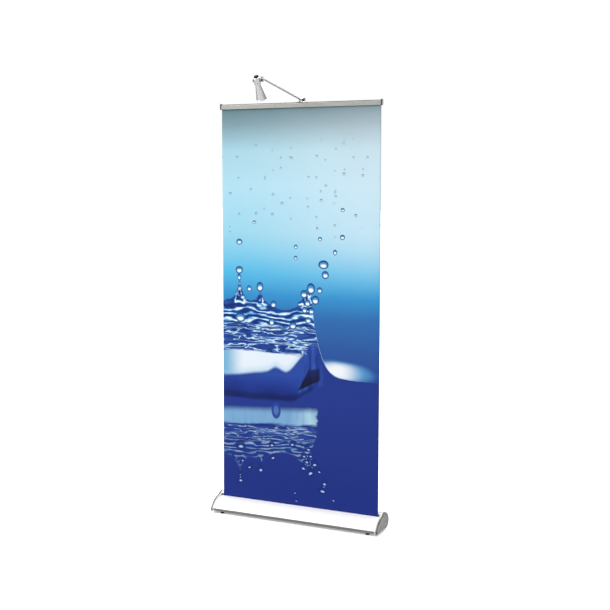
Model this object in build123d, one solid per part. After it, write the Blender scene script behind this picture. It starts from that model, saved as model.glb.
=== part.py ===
from build123d import *
from math import cos, hypot, radians, sin, tan
import os

# Roll-up banner stand with a spotlight. Millimetres.
# X runs along the banner, +Y to the rear, +Z up. The origin is on the floor, in the banner's plane.

# ---- Driving dimensions ----
GRAPHIC_WIDTH = 850
GRAPHIC_THICKNESS = 0.5
RAIL_TOP = 2060
FEED_TOP = 74

# Cassette
PROFILE_HALF = 438          # half length of the two extrusions
CAP_DEPTH = 10              # moulded end cap, along X
PLATE_GAP = 1               # shadow gap between end cap and outer plate
PLATE_DEPTH = 4.5
FLOOR_GAP = 12              # underside of the base above the floor
WALL = 2
FRONT_Y = -82
LIP_TOP = 24
SLOT_FRONT_Y = -1.5
COVER_TOP = 72.5
COVER_WALL = 1.8
HOOD_FRONT_Y = 5
HOOD_TOP = 89.5
CAP_WALL = 2.5
BASE_SCREW_BORE = 2.1       # clearance for the foot and socket screws
FOOT_X = 397
FOOT_Y = (-64, 38)
FOOT_R = 10
FOOT_RECESS = 4.5           # depth of the screw head's seat in a foot
PLATE_SCREW_SEAT = 2.2      # depth of the counterbores in the outer plates
CLIP_X = (-300, 0, 300)
CLIP_WIDTH = 30

# Roller
ROLLER_Y = -24
ROLLER_Z = 42
ROLLER_R = 16
ROLLER_WALL = 1.4
ROLLER_HALF = 428
AXLE_R = 4
WRAP_R = 18.6
PLUG_DEPTH = 14
AXLE_END = PROFILE_HALF + 7.5
RUNNING_GAP = 0.07          # round a shaft that turns
FIT_GAP = 0.05              # round a part that is pressed or plugged in
BEARING_WALL = 3
THROUGH = 500               # longer than any part, for cutting right through

# Pole
POLE_Y = 25
POLE_R = (12.5, 11.0, 9.5)
POLE_WALL = 1.2
POLE_SPAN = ((18, 742), (682, 1402), (1342, 2046))
SOCKET_R = 14.4
SOCKET_TOP = 62
SOCKET_SCREW_X = 25
FLANGE = 3                  # thickness of the socket's flange
COLLAR_R = 17
COLLAR_HEIGHT = 30
COLLAR_RISE = 10            # how far a collar stands above its tube
EAR_HEIGHT = 4.5
LEVER_PIN_X = 22.5
LEVER_PIN_R = 2

# Top rail
RAIL_HALF = 425.5
RAIL_CAP = 6.5
RAIL_HEIGHT = 24
RAIL_HALF_DEPTH = 7.5
RAIL_BOTTOM = RAIL_TOP - RAIL_HEIGHT
RAIL_SCREW = (3.6, RAIL_TOP - 12)
RAIL_SCREW_SEAT = 2.4
JAW_PIVOT = (-3.0, RAIL_TOP - 6)
JAW_BEAD_R = 2.0
JAW_RING_R = 4.3

# Lamp
HINGE_Z = 2074
ARM_ANGLE = 9.3             # above the horizontal
ARM_R = 4.5
HEAD_PIVOT = (-432, 2127)
HEAD_TILT = 32              # cone axis from the vertical, towards the banner
HOUSING_R = 16.5
HOUSING_HALF = 17
SHOULDER_R = 4
LAMP_CAP_R = 11
LAMP_CAP_SPIGOT_R = 9.5
BRACKET_BASE = RAIL_TOP + 2.3
GROMMET_Z = BRACKET_BASE + 7
PIN_GAP = 2.65              # half the spacing of the lamp's two pins
SHADE_LENGTH = 71
SHADE_TOP_R = 13.2
SHADE_MOUTH_R = 27
STEM_R = 2.5
STEM_BORE = STEM_R + RUNNING_GAP


# ---- Helpers ----
def save(shape, node):
    export_step(shape, f"parts/{node}.step")


def run(face, x0, x1):
    """Extrude a section drawn in (Y, Z) along X."""
    return extrude(Plane.YZ.offset(x0) * face, x1 - x0)


def rod_x(r, x0, x1, y, z):
    return Pos((x0 + x1) / 2, y, z) * Rot(0, 90, 0) * Cylinder(r, x1 - x0)


def rod_z(r, z0, z1, x=0, y=0):
    return Pos(x, y, (z0 + z1) / 2) * Cylinder(r, z1 - z0)


def tube_z(r_out, r_in, z0, z1, x=0, y=0):
    return rod_z(r_out, z0, z1, x, y) - rod_z(r_in, z0 - 1, z1 + 1, x, y)


def block(x0, x1, y0, y1, z0, z1):
    return Pos((x0 + x1) / 2, (y0 + y1) / 2, (z0 + z1) / 2) * Box(x1 - x0, y1 - y0, z1 - z0)


def rect(y0, y1, z0, z1):
    return Pos((y0 + y1) / 2, (z0 + z1) / 2) * Rectangle(y1 - y0, z1 - z0)


def disc(r, y, z):
    return Pos(y, z) * Circle(r)


def ring(r_out, r_in, y, z):
    return disc(r_out, y, z) - disc(r_in, y, z)


def turned(points):
    """Solid of revolution about Z from (radius, height) points."""
    profile = make_face(Polyline(*points, close=True))
    return revolve(Plane.XZ * profile, Axis.Z)


def knurled_knob(r, depth, scallops):
    """Clamp knob along +Z with finger scallops round its rim."""
    knob = fillet(Cylinder(r, depth).edges().filter_by(GeomType.CIRCLE), 1)
    for i in range(scallops):
        knob -= Rot(0, 0, 360 / scallops * i) * Pos(r + 1.1, 0, 0) * Cylinder(2, depth + 1)
    return knob


def pan_screw(head_r, head_h, shank_r, length):
    """Screw along -Z with its head's underside at the origin."""
    head = Pos(0, 0, head_h / 2) * Cylinder(head_r, head_h)
    head = fillet(head.edges().group_by(Axis.Z)[-1], head_h * 0.45)
    slot = Pos(0, 0, head_h) * (Box(head_r * 1.1, 0.8, head_h) + Box(0.8, head_r * 1.1, head_h))
    return head + Pos(0, 0, -length / 2) * Cylinder(shank_r, length) - slot


# ---- Cassette sections ----
# Screw ports run the length of the base extrusion; the end caps are screwed into them.
SCREW_PORTS = ((-70, 17.5), (10.5, 83), (57, 27.5))
PORT_R = 4.2
PORT_BORE = 1.7


def hood_outline():
    return make_face([
        Line((HOOD_FRONT_Y, FLOOR_GAP), (38, FLOOR_GAP)),
        ThreePointArc((38, FLOOR_GAP), (61.5, 24.3), (70, 46)),
        ThreePointArc((70, 46), (61, 68), (28, HOOD_TOP)),
        Line((28, HOOD_TOP), (11, HOOD_TOP)),
        ThreePointArc((11, HOOD_TOP), (6.8, 87.7), (HOOD_FRONT_Y, HOOD_TOP - 6)),
        Line((HOOD_FRONT_Y, HOOD_TOP - 6), (HOOD_FRONT_Y, FLOOR_GAP)),
    ])


def base_section():
    hood = hood_outline()
    shell = hood - offset(hood, amount=-WALL)
    shell += rect(FRONT_Y, HOOD_FRONT_Y + 1, FLOOR_GAP, FLOOR_GAP + WALL)
    shell += rect(FRONT_Y, FRONT_Y + WALL, FLOOR_GAP, LIP_TOP)
    for y, z in SCREW_PORTS:
        shell = shell + disc(PORT_R, y, z)
    for y, z in SCREW_PORTS:
        shell = shell - disc(PORT_BORE, y, z)
    return shell


COVER_ARC = ((FRONT_Y, LIP_TOP + 1), (-47.8, 58.9), (SLOT_FRONT_Y - 0.6, COVER_TOP))
COVER_CENTRE = (2.2, -25.8)


def toward_centre(point, depth):
    """Move a cover point inward along its own radius."""
    dy = COVER_CENTRE[0] - point[0]
    dz = COVER_CENTRE[1] - point[1]
    reach = hypot(dy, dz)
    return (point[0] + dy / reach * depth, point[1] + dz / reach * depth)


def cover_section():
    outer = COVER_ARC
    inner = [toward_centre(p, COVER_WALL) for p in outer]
    skin = make_face([
        ThreePointArc(*outer),
        Line(outer[2], inner[2]),
        ThreePointArc(*reversed(inner)),
        Line(inner[0], outer[0]),
    ])
    bead = disc(1.3, *toward_centre(outer[2], 1.2))
    return skin + bead


def cover_clips():
    """Spring clips under the cover that hook behind the base's front lip."""
    thickness = 1.5
    tail_z = 16.5
    head_y, head_z = -75.7, 31
    hook_y = FRONT_Y + WALL + 0.33
    section = make_face(Polyline(
        (hook_y, tail_z), (hook_y, LIP_TOP + 1.1), (head_y, head_z), (head_y + 1.4, head_z),
        (hook_y + thickness, LIP_TOP + 0.6), (hook_y + thickness, tail_z), close=True,
    ))
    half = CLIP_WIDTH / 2
    return Compound(children=[run(section, x - half, x + half) for x in CLIP_X])


def cap_outline():
    """Side profile of the whole cassette, a little proud of the extrusions."""
    return make_face([
        Line((-83.5, 10.5), (-83.5, 25.5)),
        ThreePointArc((-83.5, 25.5), (-49.2, 60.8), (-6, 77)),
        ThreePointArc((-6, 77), (5, 84.6), (17, 90.8)),
        Line((17, 90.8), (29, 90.8)),
        ThreePointArc((29, 90.8), (62.2, 69), (71.5, 46)),
        ThreePointArc((71.5, 46), (62.6, 23.2), (38, 10.5)),
        Line((38, 10.5), (-83.5, 10.5)),
    ])


# ---- Cassette ----
def base_extrusion():
    body = run(base_section(), -PROFILE_HALF, PROFILE_HALF)
    pole_clearance = 0.7
    body -= rod_z(POLE_R[0] + pole_clearance, FLOOR_GAP + WALL, 100, 0, POLE_Y)
    for x in (-FOOT_X, FOOT_X):
        for y in FOOT_Y:
            body -= rod_z(BASE_SCREW_BORE, 0, 20, x, y)
    return body


def end_cap(side):
    inner_x = PROFILE_HALF
    outer_x = PROFILE_HALF + CAP_DEPTH
    outline = cap_outline()
    roller_boss_r = 11
    web = 4
    cap = run(outline, inner_x, outer_x)
    cap -= run(offset(outline, amount=-CAP_WALL), inner_x - 1, outer_x - web)
    cap += rod_x(roller_boss_r, inner_x, outer_x - 1, ROLLER_Y, ROLLER_Z)
    seat_r = FIT_GAP + (AXLE_R if side < 0 else AXLE_R + BEARING_WALL)
    cap -= rod_x(seat_r, inner_x - 1, outer_x - 2, ROLLER_Y, ROLLER_Z)
    for y, z in SCREW_PORTS:
        cap += rod_x(PORT_R, inner_x + 0.2, outer_x - 1, y, z)
    for y, z in SCREW_PORTS:
        cap -= rod_x(PORT_BORE + 0.3, inner_x - 1, outer_x + 1, y, z)
    return cap if side > 0 else mirror(cap, Plane.YZ)


def end_plate(side):
    neck_x = PROFILE_HALF + CAP_DEPTH
    face_x = neck_x + PLATE_GAP
    outer_x = face_x + PLATE_DEPTH
    outline = cap_outline()
    edge, neck_inset = 1, 4
    rim, dish = 9, 0.8
    plate = run(outline, face_x, outer_x - edge)
    plate += run(offset(outline, amount=-edge), outer_x - edge, outer_x)
    plate += run(offset(outline, amount=-neck_inset), neck_x, face_x + 0.5)
    plate -= run(offset(outline, amount=-rim), outer_x - dish, outer_x + 1)
    for y, z in SCREW_PORTS:
        plate -= rod_x(PORT_BORE + 0.3, neck_x - 1, outer_x + 1, y, z)
        plate -= rod_x(4.1, outer_x - PLATE_SCREW_SEAT, outer_x + 1, y, z)
    return plate if side > 0 else mirror(plate, Plane.YZ)


def end_plate_screws():
    seat_x = PROFILE_HALF + CAP_DEPTH + PLATE_GAP + PLATE_DEPTH - PLATE_SCREW_SEAT
    screws = []
    for side in (1, -1):
        for y, z in SCREW_PORTS:
            screw = Pos(seat_x, y, z) * Rot(0, 90, 0) * pan_screw(3.6, 1.8, 1.6, 26)
            screws.append(screw if side > 0 else mirror(screw, Plane.YZ))
    return Compound(children=screws)


def feet():
    pads = []
    for x in (-FOOT_X, FOOT_X):
        for y in FOOT_Y:
            base = FLOOR_GAP - 0.1
            pad = turned([(0, 0), (FOOT_R - 1, 0), (FOOT_R, 1), (FOOT_R - 2, base), (0, base)])
            pad -= rod_z(3.6, -1, FOOT_RECESS) + rod_z(BASE_SCREW_BORE, 0, 20)
            pads.append(Pos(x, y, 0) * pad)
    return Compound(children=pads)


def foot_screws():
    screws = []
    for x in (-FOOT_X, FOOT_X):
        for y in FOOT_Y:
            screws.append(Pos(x, y, FOOT_RECESS) * Rot(180, 0, 0) * pan_screw(3.4, 2, 2.0, 13))
    return Compound(children=screws)


def pole_socket():
    floor_z = FLOOR_GAP + WALL
    half_length, half_width = 34, 12
    socket = rod_z(SOCKET_R, floor_z + 1, SOCKET_TOP, 0, POLE_Y)
    flange = block(
        -half_length, half_length, POLE_Y - half_width, POLE_Y + half_width, floor_z, floor_z + FLANGE
    )
    socket += fillet(flange.edges().filter_by(Axis.Z), 5)
    socket -= rod_z(POLE_R[0] + FIT_GAP, POLE_SPAN[0][0], SOCKET_TOP + 8, 0, POLE_Y)
    for x in (-SOCKET_SCREW_X, SOCKET_SCREW_X):
        socket -= rod_z(BASE_SCREW_BORE, 0, 20, x, POLE_Y)
    return socket


def socket_screws():
    floor_z = FLOOR_GAP + WALL
    return Compound(children=[
        Pos(x, POLE_Y, floor_z + FLANGE) * pan_screw(3.6, 2, 2.0, 2.9)
        for x in (-SOCKET_SCREW_X, SOCKET_SCREW_X)
    ])


# ---- Roller ----
def roller_tube():
    outer = rod_x(ROLLER_R, -ROLLER_HALF, ROLLER_HALF, ROLLER_Y, ROLLER_Z)
    return outer - rod_x(ROLLER_R - ROLLER_WALL, -THROUGH, THROUGH, ROLLER_Y, ROLLER_Z)


def graphic_wrap():
    half = GRAPHIC_WIDTH / 2
    outer = rod_x(WRAP_R, -half, half, ROLLER_Y, ROLLER_Z)
    return outer - rod_x(ROLLER_R, -THROUGH, THROUGH, ROLLER_Y, ROLLER_Z)


def roller_plug(side):
    plug_r = ROLLER_R - ROLLER_WALL
    plug = rod_x(plug_r, ROLLER_HALF - PLUG_DEPTH, ROLLER_HALF, ROLLER_Y, ROLLER_Z)
    plug += rod_x(ROLLER_R, ROLLER_HALF, ROLLER_HALF + 2, ROLLER_Y, ROLLER_Z)
    if side < 0:
        plug -= rod_x(AXLE_R + RUNNING_GAP, 0, THROUGH, ROLLER_Y, ROLLER_Z)
        return mirror(plug, Plane.YZ)
    return plug + rod_x(AXLE_R, ROLLER_HALF, PROFILE_HALF + 7, ROLLER_Y, ROLLER_Z)


def roller_bearing():
    x0 = PROFILE_HALF - 1.5
    sleeve = rod_x(AXLE_R + BEARING_WALL, x0, AXLE_END, ROLLER_Y, ROLLER_Z)
    flange = rod_x(AXLE_R + BEARING_WALL + 2, x0, PROFILE_HALF - 0.1, ROLLER_Y, ROLLER_Z)
    return sleeve + flange - rod_x(AXLE_R + RUNNING_GAP, 0, THROUGH, ROLLER_Y, ROLLER_Z)


SPRING_START = -400
SPRING_TURNS = 22
SPRING_PITCH = 6
SPRING_R = 9.5
SPRING_WIRE_R = 1.1
SPRING_ANCHOR_R = 11.5


def spring_axle():
    inner_end = SPRING_START + SPRING_TURNS * SPRING_PITCH + 30
    return rod_x(AXLE_R, -AXLE_END, inner_end, ROLLER_Y, ROLLER_Z)


def torsion_spring():
    coil = Helix(SPRING_PITCH, SPRING_TURNS * SPRING_PITCH, SPRING_R)
    wire = Plane(coil @ 0, z_dir=coil % 0) * Circle(SPRING_WIRE_R)
    return Pos(SPRING_START, ROLLER_Y, ROLLER_Z) * Rot(0, 90, 0) * sweep(wire, path=coil)


def spring_anchor():
    x0 = SPRING_START + SPRING_TURNS * SPRING_PITCH + 6
    anchor = rod_x(SPRING_ANCHOR_R, x0, x0 + 10, ROLLER_Y, ROLLER_Z)
    return anchor - rod_x(AXLE_R, -THROUGH, THROUGH, ROLLER_Y, ROLLER_Z)


# ---- Graphic ----
def graphic_panel():
    half = GRAPHIC_WIDTH / 2
    t = GRAPHIC_THICKNESS / 2
    return block(-half, half, -t, t, FEED_TOP, RAIL_TOP - 14)


def graphic_feed():
    half = GRAPHIC_WIDTH / 2
    t = GRAPHIC_THICKNESS
    foot = (ROLLER_Y + WRAP_R + 0.5, ROLLER_Z + 2)
    section = Polyline(
        foot, (foot[0] + t, foot[1]), (t / 2, FEED_TOP), (-t / 2, FEED_TOP), close=True
    )
    return run(make_face(section), -half, half)


# ---- Pole ----
def pole_tube(index):
    z0, z1 = POLE_SPAN[index]
    return tube_z(POLE_R[index], POLE_R[index] - POLE_WALL, z0, z1, 0, POLE_Y)


def guide_bush(index):
    """Bush plugged into the lower end of a moving tube; it runs in the tube below."""
    foot = POLE_SPAN[index][0]
    guide_r = POLE_R[index - 1] - POLE_WALL - FIT_GAP
    spigot_r = POLE_R[index] - POLE_WALL
    guide_length, spigot_length, bore_r = 12, 14, 5
    bush = rod_z(guide_r, foot - guide_length, foot, 0, POLE_Y)
    bush += rod_z(spigot_r, foot, foot + spigot_length, 0, POLE_Y)
    return bush - rod_z(bore_r, foot - 20, foot + 20, 0, POLE_Y)


def clamp_collar(index):
    """Collar on the top of a tube; it grips the next tube and carries the flip lever."""
    top = POLE_SPAN[index][1]
    z0 = top - COLLAR_HEIGHT + COLLAR_RISE
    z1 = top + COLLAR_RISE
    collar = rod_z(COLLAR_R, z0, z1, 0, POLE_Y)
    collar = chamfer(collar.edges().filter_by(GeomType.CIRCLE), 1)
    ear_r = 4.5
    for ear_z in (z0, z1 - EAR_HEIGHT):
        ear_top = ear_z + EAR_HEIGHT
        ear = block(10, LEVER_PIN_X, POLE_Y - ear_r, POLE_Y + ear_r, ear_z, ear_top)
        collar += ear + rod_z(ear_r, ear_z, ear_top, LEVER_PIN_X, POLE_Y)
        collar -= rod_z(LEVER_PIN_R, ear_z - 1, ear_top + 1.5, LEVER_PIN_X, POLE_Y)
    collar -= rod_z(POLE_R[index], z0 - 1, top, 0, POLE_Y)
    collar -= rod_z(POLE_R[index + 1] + 0.3, top - 1, z1 + 1, 0, POLE_Y)
    half_split = 0.8
    return collar - block(-40, -8, POLE_Y - half_split, POLE_Y + half_split, z0 - 1, z1 + 1)


def lever_pin(index):
    top = POLE_SPAN[index][1] + COLLAR_RISE
    head_r, head_height = 3.2, 1.4
    pin = rod_z(LEVER_PIN_R, top - COLLAR_HEIGHT - 0.6, top, LEVER_PIN_X, POLE_Y)
    return pin + rod_z(head_r, top, top + head_height, LEVER_PIN_X, POLE_Y)


def flip_lever(index):
    top = POLE_SPAN[index][1] + COLLAR_RISE
    end_gap = 0.3
    z0 = top - COLLAR_HEIGHT + EAR_HEIGHT + end_gap
    z1 = top - EAR_HEIGHT - end_gap
    mid = (z0 + z1) / 2
    inner, outer = COLLAR_R + 0.5, COLLAR_R + 4.1
    start, end = 4, 118
    half = radians((start + end) / 2)

    def at(r, angle):
        return (r * cos(angle), r * sin(angle))

    a, b = radians(start), radians(end)
    band = make_face([
        ThreePointArc(at(outer, a), at(outer, half), at(outer, b)),
        Line(at(outer, b), at(inner, b)),
        ThreePointArc(at(inner, b), at(inner, half), at(inner, a)),
        Line(at(inner, a), at(outer, a)),
    ])
    lever = Pos(0, POLE_Y, z0) * extrude(band, z1 - z0)
    lever += rod_z(4.4, z0, z1, LEVER_PIN_X, POLE_Y)
    tip = at(outer - 1, b)
    lever += rod_z(2.2, z0, z1, tip[0], POLE_Y + tip[1])
    thumb_ribs = [
        Rot(0, 0, angle) * Pos(outer, 0, 0) * Cylinder(0.7, 14) for angle in range(70, 111, 10)
    ]
    for rib in thumb_ribs:
        lever += Pos(0, POLE_Y, mid) * rib
    return lever - rod_z(LEVER_PIN_R + RUNNING_GAP, z0 - 1, z1 + 1, LEVER_PIN_X, POLE_Y)


def pole_head():
    """Black fitting on the top of the pole; its tongue drops into the rail's hook channel."""
    top = RAIL_TOP + 2
    tube_top = POLE_SPAN[2][1]
    head = rod_z(12.5, tube_top - 16, top, 0, POLE_Y)
    head += block(-13, 13, 7.8, POLE_Y, RAIL_TOP - 6.5, top)
    head += block(-13, 13, 7.8, 10, RAIL_TOP - 10, top)
    head += block(-13, 13, -1.5, 10, RAIL_TOP + 0.2, top)
    head -= rod_z(POLE_R[2], tube_top - 20, tube_top, 0, POLE_Y)
    return head - rod_z(5.06, tube_top - 1, top + 1, 0, POLE_Y)


# ---- Top rail ----
def rail_back_profile():
    low = RAIL_BOTTOM
    d = RAIL_HALF_DEPTH
    y, z = JAW_PIVOT
    section = rect(d - 2, d, low, RAIL_TOP)
    section += rect(-d, d, RAIL_TOP - 1.6, RAIL_TOP)
    section += rect(y - 0.7, y + 0.7, z, RAIL_TOP - 1) + disc(JAW_BEAD_R, y, z)
    section += rect(1.5, d, low + 1, low + 3.5)
    section += rect(d, d + 4, RAIL_TOP - 12, RAIL_TOP - 10.5)
    section += rect(d + 2.8, d + 4, RAIL_TOP - 12, RAIL_TOP - 7)
    section += disc(2.6, *RAIL_SCREW)
    section -= disc(1.2, *RAIL_SCREW)
    return run(section, -RAIL_HALF, RAIL_HALF)


def rail_front_jaw():
    low = RAIL_BOTTOM
    y, z = JAW_PIVOT
    section = ring(JAW_RING_R, JAW_BEAD_R + 0.08, y, z)
    gap = [(y, z)]
    for angle in (60, 105, 150):
        gap.append((y + 12 * cos(radians(angle)), z + 12 * sin(radians(angle))))
    section -= make_face(Polyline(*gap, close=True))
    section += rect(-7.0, -5.4, low, z)
    section += rect(-7.5, -5.4, low, low + 8)
    section += rect(-7.0, -1.5, low + 1, low + 3.5)
    half = RAIL_HALF - 0.4
    return run(section, -half, half)


def grip_strip(side):
    low = RAIL_BOTTOM
    section = rect(0.3, 1.5, low + 0.6, low + 4.2)
    if side < 0:
        section = rect(-1.5, -0.3, low + 0.6, low + 4.2)
    return run(section, -RAIL_HALF + 1, RAIL_HALF - 1)


def rail_cap(side):
    low = RAIL_BOTTOM
    outline = fillet(rect(-8.5, 8.5, low - 1.5, RAIL_TOP + 4).vertices(), 3)
    cap = run(outline, RAIL_HALF, RAIL_HALF + RAIL_CAP)
    cap = fillet(cap.edges().group_by(Axis.X)[-1], 1.2)
    cap -= rod_x(3, RAIL_HALF + RAIL_CAP - RAIL_SCREW_SEAT, THROUGH, *RAIL_SCREW)
    cap -= rod_x(1.4, 0, THROUGH, *RAIL_SCREW)
    return cap if side > 0 else mirror(cap, Plane.YZ)


def rail_cap_screws():
    seat = RAIL_HALF + RAIL_CAP - RAIL_SCREW_SEAT
    screw = Pos(seat, *RAIL_SCREW) * Rot(0, 90, 0) * pan_screw(2.6, 1.6, 1.15, 16)
    return Compound(children=[screw, mirror(screw, Plane.YZ)])


# ---- Lamp bracket and arm ----
def lamp_bracket():
    base = BRACKET_BASE
    body = rod_z(14, base, base + 3, 0, POLE_Y) + rod_z(5, POLE_SPAN[2][1] + 2, base + 1, 0, POLE_Y)
    for side in (-1, 1):
        x0, x1 = sorted((side * 5.6, side * 9.6))
        cheek = rod_x(12, x0, x1, POLE_Y, HINGE_Z)
        cheek += block(x0, x1, POLE_Y - 9, POLE_Y + 9, base, HINGE_Z)
        body += cheek - block(-20, 20, -20, 60, RAIL_TOP - 20, base)
    body += block(-6, 6, POLE_Y + 12.3, POLE_Y + 16, base, base + 12)
    body -= Pos(0, POLE_Y + 14, GROMMET_Z) * Rot(90, 0, 0) * Cylinder(3.1, 12)
    return body - rod_x(STEM_BORE, -20, 20, POLE_Y, HINGE_Z)


def cord_grommet():
    grommet = Cylinder(3.05, 3.7) + Pos(0, 0, 3.05) * Cylinder(5, 2.4)
    grommet += Pos(0, 0, 7) * Cone(4, 3.4, 6)
    grommet -= Cylinder(2, 40)
    return Pos(0, POLE_Y + 14.15, GROMMET_Z) * Rot(-90, 0, 0) * grommet


def hinge_nut():
    nut = extrude(RegularPolygon(5, 6), 3.4) - Cylinder(STEM_R + 0.03, 20)
    return Pos(-13.1, POLE_Y, HINGE_Z) * Rot(0, 90, 0) * nut


def arm_clamp_knob():
    knob = rod_x(STEM_R, -12.8, 11, POLE_Y, HINGE_Z) + rod_x(5, 9.8, 12, POLE_Y, HINGE_Z)
    return knob + Pos(15.8, POLE_Y, HINGE_Z) * Rot(0, 90, 0) * knurled_knob(8.5, 8, 10)


def arm_plane(reach, pitch=ARM_ANGLE):
    """Plane across the arm, at a distance from the hinge, facing along the arm."""
    a = radians(pitch)
    origin = (0, POLE_Y - reach * cos(a), HINGE_Z + reach * sin(a))
    return Plane(origin, x_dir=(1, 0, 0), z_dir=(0, -cos(a), sin(a)))


def arm_knuckle():
    knuckle = rod_x(8.4, -5.2, 5.2, POLE_Y, HINGE_Z)
    knuckle += extrude(arm_plane(4) * Circle(5.3), 24) + extrude(arm_plane(16) * Circle(6.2), 12)
    knuckle -= extrude(arm_plane(14) * Circle(ARM_R), 20)
    return knuckle - rod_x(STEM_BORE, -20, 20, POLE_Y, HINGE_Z)


def head_direction():
    """Unit vector in (Y, Z) from the head's pivot to the arm's end."""
    reach = hypot(35, 16)
    return (35 / reach, 16 / reach)


YOKE_REACH = 30.5


def arm_tube():
    vy, vz = head_direction()
    slope = tan(radians(ARM_ANGLE))
    rise = HINGE_Z - HEAD_PIVOT[1] + (POLE_Y - HEAD_PIVOT[0]) * slope
    bend_reach = rise / (vz + vy * slope)
    start = arm_plane(14).origin
    bend, end = [
        (0, HEAD_PIVOT[0] + vy * reach, HEAD_PIVOT[1] + vz * reach)
        for reach in (bend_reach, YOKE_REACH + 1.2)
    ]
    path = FilletPolyline((0, start.Y, start.Z), bend, end, radius=12)
    outer = sweep(arm_plane(14) * Circle(ARM_R), path=path)
    return outer - sweep(arm_plane(14) * Circle(ARM_R - 1.1), path=path)


def yoke_plane():
    """X across the head, local Y along the line from the pivot to the arm."""
    vy, vz = head_direction()
    return Plane((0, *HEAD_PIVOT), x_dir=(1, 0, 0), z_dir=(0, -vz, vy))


def head_yoke():
    inner, outer = 18.3, 20.8
    strap = block(-outer, outer, 0, YOKE_REACH + 1, -7, 7)
    strap = fillet(strap.edges().filter_by(Axis.Z).group_by(Axis.Y)[-1], 6)
    strap -= block(-inner, inner, -10, YOKE_REACH - 1.5, -8, 8)
    for side in (-1, 1):
        x0, x1 = sorted((side * inner, side * outer))
        strap += rod_x(7, x0, x1, 0, 0)
    strap -= rod_x(STEM_BORE, -30, 30, 0, 0)
    hub = Pos(0, YOKE_REACH + 2, 0) * Rot(90, 0, 0) * Cylinder(6.4, 5)
    socket = Pos(0, YOKE_REACH + 8, 0) * Rot(90, 0, 0) * Cylinder(ARM_R + 0.05, 14)
    return yoke_plane() * (strap + hub - socket)


def head_clamp_knob():
    knob = rod_x(STEM_R, 12.2, 22, 0, 0) + rod_x(4, 21, 22.5, 0, 0)
    knob += Pos(25.4, 0, 0) * Rot(0, 90, 0) * knurled_knob(7, 6.4, 8)
    return Pos(0, *HEAD_PIVOT) * knob


def head_pivot_screw():
    screw = Pos(-20.9, 0, 0) * Rot(0, -90, 0) * pan_screw(4.2, 2.2, STEM_R - 0.05, 8.7)
    return Pos(0, *HEAD_PIVOT) * screw


# ---- Lamp head, drawn upright about its pivot and then tilted ----
def head_plane():
    t = radians(HEAD_TILT)
    return Plane((0, *HEAD_PIVOT), x_dir=(1, 0, 0), z_dir=(0, -sin(t), cos(t)))


def lamp_housing():
    housing = rod_z(HOUSING_R, -HOUSING_HALF, HOUSING_HALF)
    housing = fillet(housing.edges().group_by(Axis.Z)[-1], SHOULDER_R)
    housing -= rod_z(HOUSING_R - WALL, 2.5 - HOUSING_HALF, HOUSING_HALF - 4.5)
    housing -= rod_z(9, -20, 0) + rod_z(LAMP_CAP_SPIGOT_R, 0, HOUSING_HALF + 1)
    for side in (-1, 1):
        x0, x1 = sorted((side * 11.5, side * 17.7))
        housing += rod_x(5.2, x0, x1, 0, 0)
    housing -= rod_x(STEM_BORE, -30, 30, 0, 0)
    for i in range(8):
        vent = Pos(HOUSING_R, 0, -8) * Box(8, 2, 8)
        housing -= Rot(0, 0, 22.5 + 45 * i) * vent
    return head_plane() * housing


def lamp_top_cap():
    height = 5.5
    spigot_r = LAMP_CAP_SPIGOT_R - FIT_GAP
    cap = rod_z(LAMP_CAP_R, HOUSING_HALF, HOUSING_HALF + height)
    cap = fillet(cap.edges().group_by(Axis.Z)[-1], 2.5)
    cap += tube_z(spigot_r, spigot_r - 1.5, HOUSING_HALF - 5, HOUSING_HALF + 0.5)
    return head_plane() * cap


def shade_radius(z):
    """Outer radius of the cone at a local height."""
    drop = -HOUSING_HALF - z
    return SHADE_TOP_R + (SHADE_MOUTH_R - SHADE_TOP_R) * drop / SHADE_LENGTH


def lamp_shade():
    top, mouth = -HOUSING_HALF, -HOUSING_HALF - SHADE_LENGTH
    skin = turned([
        (9, top), (shade_radius(top), top), (shade_radius(mouth), mouth),
        (shade_radius(mouth) - 1, mouth), (shade_radius(top - 1.2) - 1, top - 1.2), (9, top - 1.2),
    ])
    bead = Pos(0, 0, mouth) * Torus(SHADE_MOUTH_R - 0.2, 0.8)
    return head_plane() * (skin + bead)


def lamp_holder():
    holder = rod_z(8.5, -38, -6)
    for x in (-PIN_GAP, PIN_GAP):
        holder -= rod_z(0.9, -40, -26, x, 0)
    return head_plane() * fillet(holder.edges().group_by(Axis.Z)[-1], 1)


def lamp_reflector():
    outer = [(7, -38.5), (7, -46)]
    inner = [(5.2, -46), (5.2, -38.5)]
    steps = 8
    for step in range(steps + 1):
        z = -46 - step * 4.75
        r = 7 + 17.4 * (step / steps) ** 0.6
        outer.append((r + 0.01, z))
        inner.insert(0, (r - 1.4, z))
    return head_plane() * turned(outer[:1] + outer[2:] + inner[:-2] + [(5.2, -38.5)])


def lamp_capsule():
    capsule = rod_z(4.2, -66, -50)
    capsule = fillet(capsule.edges().group_by(Axis.Z)[0], 3)
    capsule += rod_z(3.5, -51, -40)
    for x in (-PIN_GAP, PIN_GAP):
        capsule += rod_z(0.5, -41, -30, x, 0)
    return head_plane() * capsule


def lamp_front_glass():
    return head_plane() * rod_z(24.2, -85.6, -84.2)


def lamp_retaining_ring():
    return head_plane() * tube_z(25.3, 23.2, -87, -85.8)


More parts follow.
